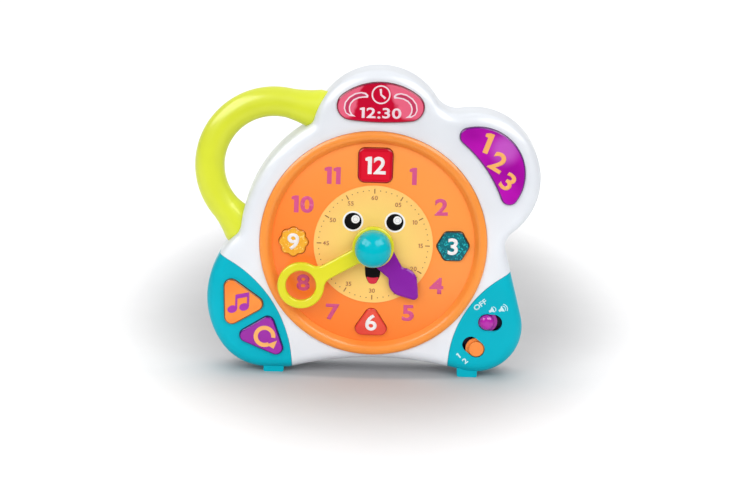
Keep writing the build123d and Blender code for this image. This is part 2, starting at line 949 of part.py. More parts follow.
def make_movement_plate():
    """Plate behind the wheels, waisted between its three screws."""
    plate = disc(0, 0, plate_hub, train_back, train_plate_back)
    spots = [around(turn, post_circle) for turn in post_turns]
    for n, spot in enumerate(spots):
        follow = spots[(n + 1) % len(spots)]
        plate += disc(*spot, post_radius + fit, train_back, train_plate_back)
        reach = math.dist(spot, follow)
        slope = math.degrees(math.atan2(follow[1] - spot[1], follow[0] - spot[0]))
        middle = ((spot[0] + follow[0]) / 2, (spot[1] + follow[1]) / 2)
        bar = Pos(*middle) * Rot(0, 0, slope) * Rectangle(reach, plate_bar)
        plate += slab(bar, train_back, train_plate_back)
        arm_turn = math.degrees(math.atan2(spot[1], spot[0]))
        arm = Rot(0, 0, arm_turn) * Pos(post_circle / 2, 0) * Rectangle(post_circle, plate_bar)
        plate += slab(arm, train_back, train_plate_back)
    x, z = wheel_place
    plate += disc(x, z, stud_radius + boss_wall, train_back, train_plate_back)
    arm_turn = math.degrees(math.atan2(z, x))
    arm = Rot(0, 0, arm_turn) * Pos(train_reach / 2, 0) * Rectangle(train_reach, plate_bar)
    plate += slab(arm, train_back, train_plate_back)
    plate -= disc(x, z, stud_radius, train_back - 1, train_plate_back + 1)
    for spot in spots:
        plate -= disc(*spot, board_pilot, train_back - 1, train_plate_back + 1)
    return plate - disc(0, 0, pivot_radius + running, train_back - 1, train_plate_back + 1)


def make_movement_screws():
    return [
        disc(*around(turn, post_circle), board_head, train_plate_back, train_plate_back + board_head_height)
        + disc(*around(turn, post_circle), board_screw_radius, train_back - short_screw + fit,
               train_plate_back)
        for turn in post_turns
    ]


def make_hour_hand():
    hand = slab(hour_outline(), hour_front, hour_back)
    hand = chamfer(front_edges(hand), hour_edge)
    hand -= disc(0, 0, pipe_radius + running, hour_front - 1, hour_back + 1)
    return hands_turned(hand, hour_now)


def make_minute_hand():
    hand = slab(minute_outline(), minute_front, minute_back)
    hand -= disc(0, minute_ring_at, minute_hole, minute_front - 1, minute_back + 1)
    hand = fillet(front_edges(hand), minute_edge)
    hand -= disc(0, 0, arbor_radius + running, minute_front - 1, minute_back + 1)
    return hands_turned(hand, 6 * minute_now)


def make_nose_knob():
    """Ball-nosed knob with a hollow back and a socket for the arbor."""
    base = minute_front
    crown = base - nose_skirt
    knob = disc(0, 0, nose_radius, crown, base)
    ball = Pos(0, crown, 0) * Sphere(nose_radius)
    knob += ball & disc(0, 0, nose_radius + 1, crown - nose_radius - 1, crown)
    knob -= disc(0, 0, arbor_radius + running, base - arbor_proud - fit, base + 1)
    return knob


def make_handle_half(front):
    """Half of the hollow handle, with its half of each root and tongue."""
    body = handle_body()
    body -= handle_body(-handle_wall)
    body += tongue(upper, upper_run) + tongue(lower, lower_run)
    for pin in handle_pins:
        body -= disc(*pin, rear_boss + stop_gap, 0, rear_face)
    keep = 2 * handle_ring + 2 * root_width
    side = -1 if front else 1
    half = Pos(handle_x, handle_depth + side * keep / 2, handle_z) * Box(2 * keep, keep, 2 * keep)
    return body & half


def make_rear_housing():
    """Back shell: lip, screw tubes, cell bay, speaker ring and grille, and two feet."""
    outer = slab(casing(), front_depth, rear_face)
    outer = fillet(back_edges(outer), rear_round)
    inner = slab(casing(-wall), front_depth - 1, rear_face - wall)
    inner = fillet(back_edges(inner), rear_round - wall)
    shell = outer - inner
    step_in = -wall - fit
    shell += slab(casing(-wall / 2), front_depth, front_depth + lip_height) - slab(
        casing(step_in - lip_thick), front_depth - 1, front_depth + lip_height + 1
    )
    lip = slab(casing(step_in), front_depth - lip_height, front_depth)
    lip -= slab(casing(step_in - lip_thick), front_depth - lip_height - 1, front_depth + 1)
    for cut in (left_cut, right_cut):
        x, z, radius = cut
        reach = flange_wall + panel_gap / 2 + fit
        lip -= ring(radius + reach, radius - reach, front_depth - lip_height - 1, front_depth, x, z)
    for place in housing_screw_places:
        lip -= disc(*place, pilot_radius + boss_wall + fit, front_depth - lip_height - 1, front_depth)
    shell += lip
    shell -= tongue(upper, upper_run, fit) + tongue(lower, lower_run, fit)
    for x in (foot_left, foot_right):
        shell += foot(x, rear_face - foot_front - foot_length)
    for x, z in housing_screw_places:
        shell += disc(x, z, rear_boss, front_depth, rear_face - wall / 2)
        shell -= disc(x, z, screw_radius + fit, front_depth - 1, rear_face)
        shell -= disc(x, z, screw_head + fit, screw_seat, rear_face + 1)
    shell += make_bay()
    opening = door_outline(0)
    shell -= slab(opening, rear_face - wall - fit, rear_face + 1)
    shell += lug_boss()
    shell += ring(speaker_radius + fit + speaker_wall, speaker_radius + fit,
                  rear_face - wall - speaker_depth, rear_face - wall / 2, 0, speaker_z)
    shell -= grille()
    shell += pegs_back(board_stands(), rear_face - wall / 2, main_board_back)
    return shell - handle_hole


def door_outline(gap):
    """Door with its screw lug, inside the opening by the gap."""
    width = bay_length + 2 * bay_rest - 2 * gap
    height = door_high - door_low - 2 * gap
    panel = Pos(bay_x, bay_z) * RectangleRounded(width, height, door_corner)
    stem_part = Pos(bay_x, (door_high + lug_z) / 2 - gap) * Rectangle(lug_width - 2 * gap, lug_z - door_high + 2 * gap)
    return panel + stem_part + Pos(bay_x, lug_z) * Circle(lug_width / 2 - gap)


def make_bay():
    """Tub for the cells, open to the back, with windows for the door's tabs."""
    tub = block(bay_x, bay_z, bay_length + 2 * bay_wall, bay_height + 2 * bay_wall, bay_front, bay_back)
    tub -= block(bay_x, bay_z, bay_length, bay_height, bay_front + bay_floor, bay_back + 1)
    for side in (-1, 1):
        tub -= block(bay_x + side * tab_at, bay_z - bay_height / 2 - bay_wall / 2, tab_width + 2 * stop_gap,
                     bay_wall + 1, rear_face - tab_window, rear_face)
    return tub


def lug_boss():
    boss = disc(bay_x, lug_z, lug_post, bay_front + bay_floor, bay_back)
    boss -= block(bay_x, bay_z, bay_length, bay_height, bay_front, rear_face)
    return boss - disc(bay_x, lug_z, door_screw_hole, bay_back - door_screw_length - 1, rear_face)


def make_battery_door():
    """Door with two tabs under the wall below it and a lug for its screw."""
    door = slab(door_outline(door_gap), rear_face - door_thick, rear_face)
    low = door_low + door_gap
    tab_back = rear_face - wall - stop_gap
    for side in (-1, 1):
        x = bay_x + side * tab_at
        door += block(x, low + (tab_rise - tab_drop) / 2, tab_width, tab_rise + tab_drop,
                      tab_back - tab_thick, tab_back)
        door += block(x, low + tab_rise / 2, tab_width, tab_rise, tab_back - tab_thick / 2,
                      rear_face - door_thick / 2)
    door -= disc(bay_x, lug_z, screw_radius + fit, rear_face - door_thick - 1, rear_face + 1)
    return door - disc(bay_x, lug_z, screw_head + fit, rear_face - door_thick / 2, rear_face + 1)


def make_door_screw():
    head_seat = rear_face - door_thick / 2
    head = disc(bay_x, lug_z, screw_head, head_seat, rear_face)
    shank = disc(bay_x, lug_z, screw_radius, bay_back - door_screw_length, head_seat)
    return head + shank - cross_slot(bay_x, lug_z, rear_face)


def cross_slot(x, z, back):
    size = screw_head * 1.2
    slot = Rectangle(size, slot_cut) + Rectangle(slot_cut, size)
    return slab(Pos(x, z) * slot, back - slot_deep, back + 1)


def make_housing_screws():
    return [
        disc(x, z, screw_head, screw_seat, screw_seat + screw_head_height)
        + disc(x, z, screw_radius, screw_tip, screw_seat)
        - cross_slot(x, z, screw_seat + screw_head_height)
        for x, z in housing_screw_places
    ]


def make_cells():
    cells = []
    for n in range(cell_count):
        z = bay_z + (n - (cell_count - 1) / 2) * cell_pitch
        way = 1 if n % 2 == 0 else -1
        start = Plane((bay_x - way * cell_length / 2, cell_depth, z), x_dir=(0, 1, 0), z_dir=(way, 0, 0))
        can = extrude(start * Circle(cell_radius), cell_length - cell_nub)
        can = chamfer(can.edges().filter_by(GeomType.CIRCLE), cell_edge)
        nub = extrude(start * Circle(cell_nub_radius), cell_length)
        cells.append(can + nub)
    return cells


def make_contacts():
    """Plate and springy cone at each end of each cell."""
    contacts = []
    for n in range(cell_count):
        z = bay_z + (n - (cell_count - 1) / 2) * cell_pitch
        for side in (-1, 1):
            seat = Plane((bay_x + side * bay_length / 2, cell_depth, z), x_dir=(0, 1, 0), z_dir=(-side, 0, 0))
            plate = extrude(seat * Rectangle(contact_width, contact_width), contact_thick)
            wide = seat.offset(contact_thick / 2) * Circle(contact_cone)
            tip = seat.offset(contact_room - stop_gap) * Circle(contact_tip)
            contacts.append(plate + loft([wide.faces()[0], tip.faces()[0]], ruled=True))
    return contacts


def make_speaker():
    """Flange, basket and magnet of a small speaker that faces the grille."""
    face = rear_face - wall
    points = [
        (0, face - speaker_depth),
        (speaker_magnet, face - speaker_depth),
        (speaker_magnet, face - speaker_depth / 2),
        (speaker_radius - speaker_step, face - speaker_frame * 2),
        (speaker_radius - speaker_step, face - speaker_frame),
        (speaker_radius, face - speaker_frame),
        (speaker_radius, face),
        (speaker_radius - speaker_step, face),
        (speaker_dust, face - speaker_depth / 3),
        (0, face - speaker_depth / 3 - 1),
    ]
    return turned(points, 0, speaker_z)


def grille():
    tools = None
    for n in range(grille_slots):
        offset = (n - (grille_slots - 1) / 2) * grille_pitch
        reach = 2 * math.sqrt(grille_radius**2 - offset**2)
        cut = slab(Pos(0, speaker_z + offset) * SlotOverall(reach, grille_slot), rear_face - wall - 1, rear_face + 1)
        tools = cut if tools is None else tools + cut
    return tools


def board_stands():
    x, z, width, height = main_board
    return [(x - width / 2 + peg_inset, z - height / 2 + peg_inset), (x + width / 2 - peg_inset, z + height / 2 - peg_inset)]


def pegs_back(places, back, front):
    solid = None
    for x, z in places:
        peg = disc(x, z, peg_radius, front, back)
        peg -= disc(x, z, board_pilot, front - 1, front + board_screw_length)
        solid = peg if solid is None else solid + peg
    return solid


def make_top_board():
    x, z = lens_place
    board = slab(lens(-key_edge), casing_board, casing_board + board_thick)
    board += block(x, top_peg_z + peg_pad / 2, 2 * top_peg_at + 2 * peg_pad, 2 * peg_pad,
                   casing_board, casing_board + board_thick)
    return holed(board, top_pegs)


def make_lobe_board():
    board = slab(moon(), casing_board, casing_board + board_thick)
    for place in lobe_pegs:
        board += disc(*place, 1.5 * peg_pad, casing_board, casing_board + board_thick)
    return holed(board, lobe_pegs)


def make_corner_board():
    board = slab(rounded(corner_board, peg_pad), casing_board, casing_board + board_thick)
    x, z, radius = left_cut
    board &= disc(x, z, radius - flange_wall - 2 * panel_gap, 0, front_depth)
    board &= slab(casing(-wall - 2 * panel_gap), 0, front_depth)
    return holed(board, corner_pegs)


def make_switch_board():
    x, z, width, height = switch_board_place
    board = block(x, z, width, height, switch_board_at, switch_board_at + board_thick)
    x, z, radius = right_cut
    board &= disc(x, z, radius - flange_wall - 2 * panel_gap, 0, front_depth)
    board &= slab(casing(-wall - 2 * panel_gap), 0, front_depth)
    board -= disc(*housing_places[2], pilot_radius + boss_wall + 2 * panel_gap, 0, front_depth)
    return holed(board, switch_pegs)


def make_dial_board():
    board = ring(dial_board_outer, dial_board_inner, dial_board_at, dial_board_at + board_thick)
    return holed(board, dial_pegs)


def make_main_board():
    x, z, width, height = main_board
    front = main_board_back - board_thick
    board = block(x, z, width, height, front, main_board_back)
    board = holed(board, board_stands())
    board += disc(x, z, chip_radius, front - chip_height, front)
    for n in range(4):
        board += block(x - width / 4, z - height / 3 + n * height / 6, width / 8, height / 14,
                       front - chip_height, front)
    return board


def make_dial_leds():
    places = [around(90 * n + led_turn, number_circle) for n in range(4)]
    return [disc(*place, led_radius, dial_board_at - led_height, dial_board_at) for place in places]


def make_board_screws():
    screws = board_screws(top_pegs, casing_board + board_thick)
    screws += board_screws(lobe_pegs, casing_board + board_thick)
    screws += board_screws(corner_pegs, casing_board + board_thick)
    screws += board_screws(switch_pegs, switch_board_at + board_thick)
    screws += board_screws(dial_pegs, dial_board_at + board_thick)
    front = main_board_back - board_thick
    for place in board_stands():
        screws.append(
            disc(*place, board_head, front - board_head_height, front)
            + disc(*place, board_screw_radius, front, front + board_screw_length - fit)
        )
    return screws


def build():
    pieces = {
        "front_housing": make_front_housing(),
        "rear_housing": make_rear_housing(),
        "left_corner_panel": corner_panel(left_cut, (tune, again), (), housing_places[3],
                                          corner_pegs, casing_board, foot_left),
        "right_corner_panel": corner_panel(right_cut, (), (volume_place, tongue_place),
                                           housing_places[2], switch_pegs, switch_board_at, foot_right),
        "handle_front": make_handle_half(True),
        "handle_rear": make_handle_half(False),
        "dial_bezel": make_dial_bezel(),
        "dial_plate": make_dial_plate(),
        "face_disc": ring(disc_radius, pipe_radius + fit, dial_centre_front - disc_thick, dial_centre_front),
        "encoder_card": make_encoder_card(),
        "contact_brush": make_contact_brush(),
        "movement_plate": make_movement_plate(),
        "movement_screws": make_movement_screws(),
        "hour_hand": make_hour_hand(),
        "hour_wheel": make_hour_wheel(),
        "minute_hand": make_minute_hand(),
        "minute_arbor": make_minute_arbor(),
        "minute_wheel": make_minute_wheel(),
        "wheel_stud": disc(*wheel_place, stud_radius, dial_centre_back, train_plate_back),
        "friction_washer": ring(washer_radius, pivot_radius + running, washer_front,
                                washer_front + washer_thick),
        "nose_knob": make_nose_knob(),
        "volume_slider": slider(volume_start, volume_proud, volume_crown),
        "language_slider": slider(tongue_start, tongue_proud, tongue_crown),
        "slide_switches": [slide_switch(volume_place), slide_switch(tongue_place)],
        "dial_board": make_dial_board(),
        "dial_leds": make_dial_leds(),
        "top_board": make_top_board(),
        "lobe_board": make_lobe_board(),
        "corner_board": make_corner_board(),
        "switch_board": make_switch_board(),
        "main_board": make_main_board(),
        "board_screws": make_board_screws(),
        "speaker": make_speaker(),
        "battery_cells": make_cells(),
        "battery_contacts": make_contacts(),
        "battery_door": make_battery_door(),
        "door_screw": make_door_screw(),
        "housing_screws": make_housing_screws(),
    }
    keys = {name: (outline, place, number_face, dial_under) for name, (outline, place) in number_keys.items()}
    keys["time_button"] = (lens, lens_place, key_face, casing_under)
    keys["game_button"] = (moon, moon_place, key_face, casing_under)
    keys["tune_button"] = (tune, tune_place, key_face, casing_under)
    keys["again_button"] = (again, again_place, key_face, casing_under)
    for name, (outline, (x, z), face, under) in keys.items():
        pieces[name] = push_key(outline, x, z, face, under)
        pieces[name.replace("button", "dome")] = dome(x, z, under)
    return pieces


nose_front = minute_front - nose_skirt - nose_radius
left_reach = handle_x - handle_ring - handle_tube
right_reach = right_lobe[0] + right_lobe[2]
stand = Pos(-(left_reach + right_reach) / 2, -(nose_front + rear_face) / 2, -floor_z)

os.makedirs("parts", exist_ok=True)
for name, piece in build().items():
    solids = piece if isinstance(piece, list) else [piece]
    placed = [stand * solid for solid in solids]
    shape = placed[0] if len(placed) == 1 else Compound(children=placed)
    export_step(shape, f"parts/{name}.step")
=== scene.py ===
import math

import bmesh
import bpy
from mathutils import Matrix, Vector
from mathutils.bvhtree import BVHTree


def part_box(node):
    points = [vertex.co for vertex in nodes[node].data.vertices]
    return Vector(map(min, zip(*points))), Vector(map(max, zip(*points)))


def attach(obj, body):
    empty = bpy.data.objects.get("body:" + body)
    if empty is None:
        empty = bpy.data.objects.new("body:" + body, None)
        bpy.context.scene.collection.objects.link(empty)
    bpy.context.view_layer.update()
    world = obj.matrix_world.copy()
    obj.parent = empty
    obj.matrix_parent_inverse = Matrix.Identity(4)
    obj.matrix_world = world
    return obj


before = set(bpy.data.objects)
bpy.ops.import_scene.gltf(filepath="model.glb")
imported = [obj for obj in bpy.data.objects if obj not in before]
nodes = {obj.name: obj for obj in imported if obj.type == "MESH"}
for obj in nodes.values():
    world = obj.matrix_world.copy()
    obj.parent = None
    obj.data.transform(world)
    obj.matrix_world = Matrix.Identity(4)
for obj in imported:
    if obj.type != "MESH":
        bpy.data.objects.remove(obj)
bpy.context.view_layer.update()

# ---- White shells
# Front and back shell of the casing and the battery door, moulded in white ABS with a soft
# gloss. The two shells are screwed together from behind, and the door hooks into the back.
mm = 0.001
to_mm = 1000.0


class Tap:
    """A value in a node tree, which takes ordinary Python arithmetic."""

    def __init__(self, graph, socket):
        self.graph = graph
        self.socket = socket

    def worked(self, operation, first, second):
        return self.graph.node("Math", {"operation": operation}, {0: first, 1: second})

    def __add__(self, other):
        return self.worked("ADD", self, other)

    __radd__ = __add__

    def __sub__(self, other):
        return self.worked("SUBTRACT", self, other)

    def __rsub__(self, other):
        return self.worked("SUBTRACT", other, self)

    def __mul__(self, other):
        return self.worked("MULTIPLY", self, other)

    __rmul__ = __mul__

    def step(self, low, high):
        """Zero below low, one above high, and a smooth rise between them."""
        inputs = {"Value": self, "From Min": low, "From Max": high}
        return self.graph.node("MapRange", {"interpolation_type": "SMOOTHSTEP"}, inputs)


class Graph:
    """Node tree of a material or of the room, which starts empty."""

    def __init__(self, tree):
        self.tree = tree
        self.tree.nodes.clear()

    def node(self, kind, settings, inputs, out=0):
        made = self.tree.nodes.new("ShaderNode" + kind)
        for key, value in settings.items():
            setattr(made, key, value)
        for key, value in inputs.items():
            self.feed(made.inputs[key], value)
        return Tap(self, made.outputs[out])

    def feed(self, socket, value):
        if isinstance(value, Tap):
            self.tree.links.new(value.socket, socket)
        else:
            socket.default_value = value


class Finish(Graph):
    """A material for one of the clock's surfaces."""

    def __init__(self, name):
        self.material = bpy.data.materials.new(name)
        self.material.use_nodes = True
        super().__init__(self.material.node_tree)
        self.shader = self.tree.nodes.new("ShaderNodeBsdfPrincipled")
        output = self.tree.nodes.new("ShaderNodeOutputMaterial")
        self.tree.links.new(self.shader.outputs[0], output.inputs["Surface"])
        self.place = self.node("TexCoord", {}, {}, "Object")

    def shade(self, **values):
        """Sets the shader's own sockets, named in small letters."""
        for key, value in values.items():
            socket = key.replace("_", " ").title().replace("Ior", "IOR")
            self.feed(self.shader.inputs[socket], value)
        return self

    def noise(self, per_metre, detail=2.0):
        inputs = {"Vector": self.place, "Scale": per_metre, "Detail": detail}
        return self.node("TexNoise", {}, inputs)

    def along(self, way, start):
        """Millimetres past a starting point, in one direction."""
        inputs = {0: self.place, 1: way}
        run = self.node("VectorMath", {"operation": "DOT_PRODUCT"}, inputs, "Value")
        return to_mm * (run - Vector(way).dot(start))

    def stretched(self, sizes):
        return self.node("VectorMath", {"operation": "MULTIPLY"}, {0: self.place, 1: sizes})

    def distance(self, place, middle):
        inputs = {0: place, 1: middle}
        return self.node("VectorMath", {"operation": "DISTANCE"}, inputs, "Value")

    def away(self, x, z):
        """Millimetres from a line along the depth, x and z past the dial's middle."""
        middle = (dial_x / mm + x, 0.0, dial_z / mm + z)
        return self.distance(self.stretched((to_mm, 0.0, to_mm)), middle)

    def mixed(self, share, low, high):
        """One colour where the share is zero and another where it is one."""
        factor, first_colour, second_colour, colour_out = 0, 6, 7, 2
        inputs = {factor: share, first_colour: low, second_colour: high}
        return self.node("Mix", {"data_type": "RGBA"}, inputs, colour_out)

    def bumped(self, height, strength, distance):
        inputs = {"Height": height, "Strength": strength, "Distance": distance}
        return self.shade(normal=self.node("Bump", {}, inputs))


def paint(red, green, blue):
    """Linear colour from the values that a paint card gives."""
    tone = []
    for value in (red, green, blue):
        share = value / 255
        tone.append(share / 12.92 if share <= 0.04045 else ((share + 0.055) / 1.055) ** 2.4)
    return (*tone, 1.0)


def darker(colour, share):
    return tuple(value * share for value in colour[:3]) + (1.0,)


def moulded(name, colour, roughness=0.3, coat=0.1, grain=0.03, shine=0.3):
    """Moulded plastic: an even colour with faint clouds, and a trace of the mould's polish."""
    finish = Finish(name)
    cloud = finish.noise(per_metre=24.0)
    wear = finish.noise(per_metre=60.0, detail=3.0)
    polish = finish.noise(per_metre=900.0, detail=4.0)
    finish.shade(
        base_color=finish.mixed(cloud.step(0.3, 0.7), darker(colour, 0.94), colour),
        roughness=roughness + 0.1 * (wear - 0.5),
        coat_weight=coat,
        coat_roughness=0.12,
        specular_ior_level=shine,
    )
    return finish.bumped(polish, strength=grain, distance=0.2 * mm)


def finish_nodes(finish, *names):
    for name in names:
        for holder in nodes[name].material_slots:
            holder.material = finish.material


white = moulded("white shell", paint(236, 240, 246), roughness=0.32, shine=0.4)
finish_nodes(white, "front_housing", "rear_housing", "battery_door")

# ---- Teal corners
# Two separate corners of the front shell with the front feet on them, in teal ABS.
# They are let into the white shell along an arc and screwed from behind.
teal = moulded("teal corner", paint(0, 182, 202), roughness=0.34, coat=0.0, shine=0.12)
finish_nodes(teal, "left_corner_panel", "right_corner_panel")

# ---- Handle
# Ring handle of two half tubes in lime ABS. Its tongues are trapped between the shells,
# with the tube of a housing screw through each.
lime = moulded("lime handle", paint(226, 234, 58), coat=0.12)
finish_nodes(lime, "handle_front", "handle_rear")

# ---- Dial
# Tinted dial of slightly cloudy orange acrylic under a rim of opaque orange ABS. The dial
# swells towards its middle, where the printed cream disc is glued on.
knob_low, knob_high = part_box("nose_knob")
dial_x = (knob_low.x + knob_high.x) / 2
dial_z = (knob_low.z + knob_high.z) / 2

rim = moulded("orange rim", paint(255, 154, 64))
finish_nodes(rim, "dial_bezel")

dial = Finish("tinted dial")
# A narrow ring by the rim is painted a redder, darker orange as painted shade from the rim
groove_shade_start, groove_shade_end = 76.5, 79.4
painted_groove_shade = dial.away(0.0, 0.0).step(groove_shade_start, groove_shade_end)
# The dial is painted lighter towards its upper right and deeper towards its lower left as
# painted light and shade, with a random drift
slant = dial.along((0.6, 0.0, 0.8), (dial_x, 0.0, dial_z))
drift = 24.0 * (dial.noise(per_metre=14.0) - 0.5)
painted_sheen = dial.mixed(
    (slant + drift).step(-70.0, 70.0), paint(255, 132, 46), paint(255, 158, 74)
)
dial.shade(
    base_color=dial.mixed(painted_groove_shade, painted_sheen, paint(252, 98, 34)),
    roughness=0.3 + 0.12 * (dial.noise(per_metre=45.0, detail=3.0) - 0.5),
    coat_weight=0.15,
    coat_roughness=0.1,
    specular_ior_level=0.3,
)
dial.bumped(dial.noise(per_metre=700.0, detail=3.0), strength=0.02, distance=0.2 * mm)
finish_nodes(dial, "dial_plate")

disc = Finish("cream disc")
fibre = disc.noise(per_metre=2600.0, detail=3.0)
# The disc is paler in its middle and more orange towards its border, with a random drift
towards_border = disc.away(0.0, 0.0) + 10.0 * (disc.noise(per_metre=22.0) - 0.5)
disc.shade(
    base_color=disc.mixed(towards_border.step(12.0, 46.0), paint(255, 222, 120), paint(254, 204, 114)),
    roughness=0.5 + 0.15 * (fibre - 0.5),
    coat_weight=0.05,
    coat_roughness=0.3,
    specular_ior_level=0.3,
)
disc.bumped(fibre, strength=0.04, distance=0.1 * mm)
finish_nodes(disc, "face_disc")

# ---- Numbers on the dial
# Eight hours printed in pink under the tint, which follow the dial's swelling skin. The
# other four hours are on buttons.
film = 0.12 * mm
film_cut = 2.5
figure_height = 0.73


def outlined(points, rounding, segments=6):
    """Flat shape with rounded corners, from a few corner points."""
    shape = bmesh.new()
    corners = [shape.verts.new((x, z, 0)) for x, z in points]
    shape.faces.new(corners)
    bmesh.ops.bevel(
        shape, geom=shape.verts[:], offset=rounding, offset_type="OFFSET", affect="VERTICES",
        segments=segments, profile=0.5, material=-1, clamp_overlap=True,
    )
    return shape


def joined(*shapes):
    """One mesh of several flat shapes."""
    whole = bmesh.new()
    for shape in shapes:
        mesh = bpy.data.meshes.new("part")
        shape.to_mesh(mesh)
        shape.free()
        whole.from_mesh(mesh)
        bpy.data.meshes.remove(mesh)
    return whole


def turned(shape, turn):
    turning = Matrix.Rotation(math.radians(turn), 3, "Z")
    bmesh.ops.rotate(shape, verts=shape.verts, matrix=turning)


def moved(shape, x, z, turn=0.0, wide=1.0, high=1.0):
    bmesh.ops.scale(shape, verts=shape.verts, vec=Vector((wide, high, 1)))
    turned(shape, turn)
    bmesh.ops.translate(shape, verts=shape.verts, vec=Vector((x, z, 0)))
    return shape


def box_of(shape):
    low = Vector([min(v.co[n] for v in shape.verts) for n in range(3)])
    high = Vector([max(v.co[n] for v in shape.verts) for n in range(3)])
    return low, high


def sign_of(letter, bold):
    """Flat sign on a line at zero. The one is drawn here, with a slanted flag."""
    if letter == "1":
        stem_left = 0.10
        stem_width = 0.10 + 2.4 * bold
        stem_right = stem_left + stem_width
        flag = [
            (0.0, 0.56), (0.0, 0.67), (0.13, figure_height), (stem_right, figure_height),
            (stem_right, 0.0), (stem_left, 0.0), (stem_left, 0.55),
        ]
        return outlined(flag, 0.02, 3)
    words = bpy.data.curves.new(letter, "FONT")
    words.body = letter
    words.offset = bold
    words.resolution_u = 6
    holder = bpy.data.objects.new(letter, words)
    mesh = bpy.data.meshes.new_from_object(holder)
    bpy.data.objects.remove(holder)
    shape = bmesh.new()
    shape.from_mesh(mesh)
    bpy.data.meshes.remove(mesh)
    if letter.isdigit():
        low, high = box_of(shape)
        tall = high.y - low.y
        moved(shape, 0, -low.y * figure_height / tall, high=figure_height / tall)
    return shape


def digits(text, height, bold=0.03, wide=1.15, gap=0.07):
    """Row of signs of a given height, with its middle at zero."""
    row, end = [], 0.0
    for letter in text:
        shape = moved(sign_of(letter, bold), 0, 0, wide=wide)
        low, high = box_of(shape)
        row.append(moved(shape, end - low.x, 0))
        end += high.x - low.x + gap
    shape = joined(*row)
    low, high = box_of(shape)
    size = height / (high.y - low.y)
    moved(shape, -(low.x + high.x) / 2, -(low.y + high.y) / 2)
    return moved(shape, 0, 0, wide=size, high=size)


def laid(name, shape, node, body, finish, x, z, turn=0.0, rise=1.0):
    """Turns a flat shape, cuts it finely and lays it on a CAD skin as a film of print."""
    bmesh.ops.remove_doubles(shape, verts=shape.verts, dist=0.001)
    turned(shape, -turn)
    for across in (Vector((1, 0, 0)), Vector((0, 1, 0))):
        reach = max(abs(v.co.dot(across)) for v in shape.verts)
        cuts = int(reach / film_cut)
        for n in range(-cuts, cuts + 1):
            everything = shape.verts[:] + shape.edges[:] + shape.faces[:]
            cut_at = across * n * film_cut
            bmesh.ops.bisect_plane(shape, geom=everything, plane_co=cut_at, plane_no=across)
    for face in shape.faces:
        face.normal_update()
        if face.normal.z < 0:
            face.normal_flip()
    under = shape.faces[:]
    grown = bmesh.ops.extrude_face_region(shape, geom=under, use_keep_orig=True)
    bmesh.ops.reverse_faces(shape, faces=under)
    raised = {v for v in grown["geom"] if isinstance(v, bmesh.types.BMVert)}
    low = [v for v in shape.verts if v not in raised]
    bmesh.ops.scale(shape, verts=shape.verts, vec=Vector((mm, mm, mm)))
    skin = nodes[node].data
    faces = [polygon.vertices for polygon in skin.polygons]
    tree = BVHTree.FromPolygons([v.co for v in skin.vertices], faces)
    start_y, way_in = -1.0, Vector((0, 1, 0))
    for verts, out in ((raised, rise * film), (low, -film)):
        for vert in verts:
            print_x, print_z = dial_x + x * mm + vert.co.x, dial_z + z * mm + vert.co.y
            hit = tree.ray_cast(Vector((print_x, start_y, print_z)), way_in)[0]
            vert.co = (print_x, hit.y - out, print_z)
    placed(name, shape, body, finish)


def placed(name, shape, body, finish):
    """Piece from a finished shape, which rides on a body of the clock."""
    mesh = bpy.data.meshes.new(name)
    shape.to_mesh(mesh)
    shape.free()
    piece = bpy.data.objects.new(name, mesh)
    bpy.context.scene.collection.objects.link(piece)
    mesh.materials.append(finish.material)
    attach(piece, body)


pink = moulded("pink print", paint(218, 86, 142), roughness=0.32, coat=0.0)
for hour, x, z in (
    (1, 28.8, 53.3), (2, 51.1, 30.1), (4, 49.4, -31.4), (5, 28.2, -53.5),
    (7, -29.7, -54.4), (8, -52.9, -31.9), (10, -54.8, 29.2), (11, -32.5, 52.2),
):
    figure = digits(str(hour), 13.0)
    laid(f"hour_{hour}", figure, "dial_plate", "casing", pink, x, z)

# ---- Minute print on the disc
# Twelve strokes with four dots between each pair, all in one printing of brown ink, and
# the minutes in small figures of a paler one.
brown = moulded("brown ink", paint(150, 96, 60), roughness=0.5, coat=0.0)
pale_brown = moulded("pale brown ink", paint(182, 118, 78), roughness=0.5, coat=0.0)
stroke_count = 12
minute_step = 6


def around(turn, reach):
    """Point at a clock angle, in millimetres from the dial's middle."""
    angle = math.radians(90 - turn)
    return reach * math.cos(angle), reach * math.sin(angle)


def bar(width, length, middle):
    shape = bmesh.new()
    bmesh.ops.create_grid(shape, x_segments=1, y_segments=1, size=0.5)
    return moved(shape, 0, middle, wide=width, high=length)


def spun(shape):
    """Copies of a shape all the way round the dial's middle, one at each stroke."""
    everything = shape.verts[:] + shape.edges[:] + shape.faces[:]
    copies = stroke_count - 1
    bmesh.ops.spin(
        shape, geom=everything, cent=(0, 0, 0), axis=(0, 0, 1),
        angle=-2 * math.pi * copies / stroke_count, steps=copies, use_duplicate=True,
    )
    return shape


strokes = spun(bar(width=0.75, length=3.6, middle=41.4))
laid("minute_strokes", strokes, "face_disc", "casing", brown, 0, 0)
dots = bmesh.new()
top_dot = Matrix.Translation((0, 41.9, 0))
for minute in range(1, 5):
    dot = bmesh.ops.create_circle(dots, cap_ends=True, segments=10, radius=0.42, matrix=top_dot)
    turning = Matrix.Rotation(-math.radians(minute_step * minute), 3, "Z")
    bmesh.ops.rotate(dots, verts=dot["verts"], matrix=turning)
laid("minute_dots", spun(dots), "face_disc", "casing", brown, 0, 0)
for minute in range(5, 65, 5):
    x, z = around(minute_step * minute, 36.2)
    figure = digits(f"{minute:02d}", 3.3, bold=0.016, wide=1.05, gap=0.09)
    laid(f"minute_{minute}", figure, "face_disc", "casing", pale_brown, x, z)

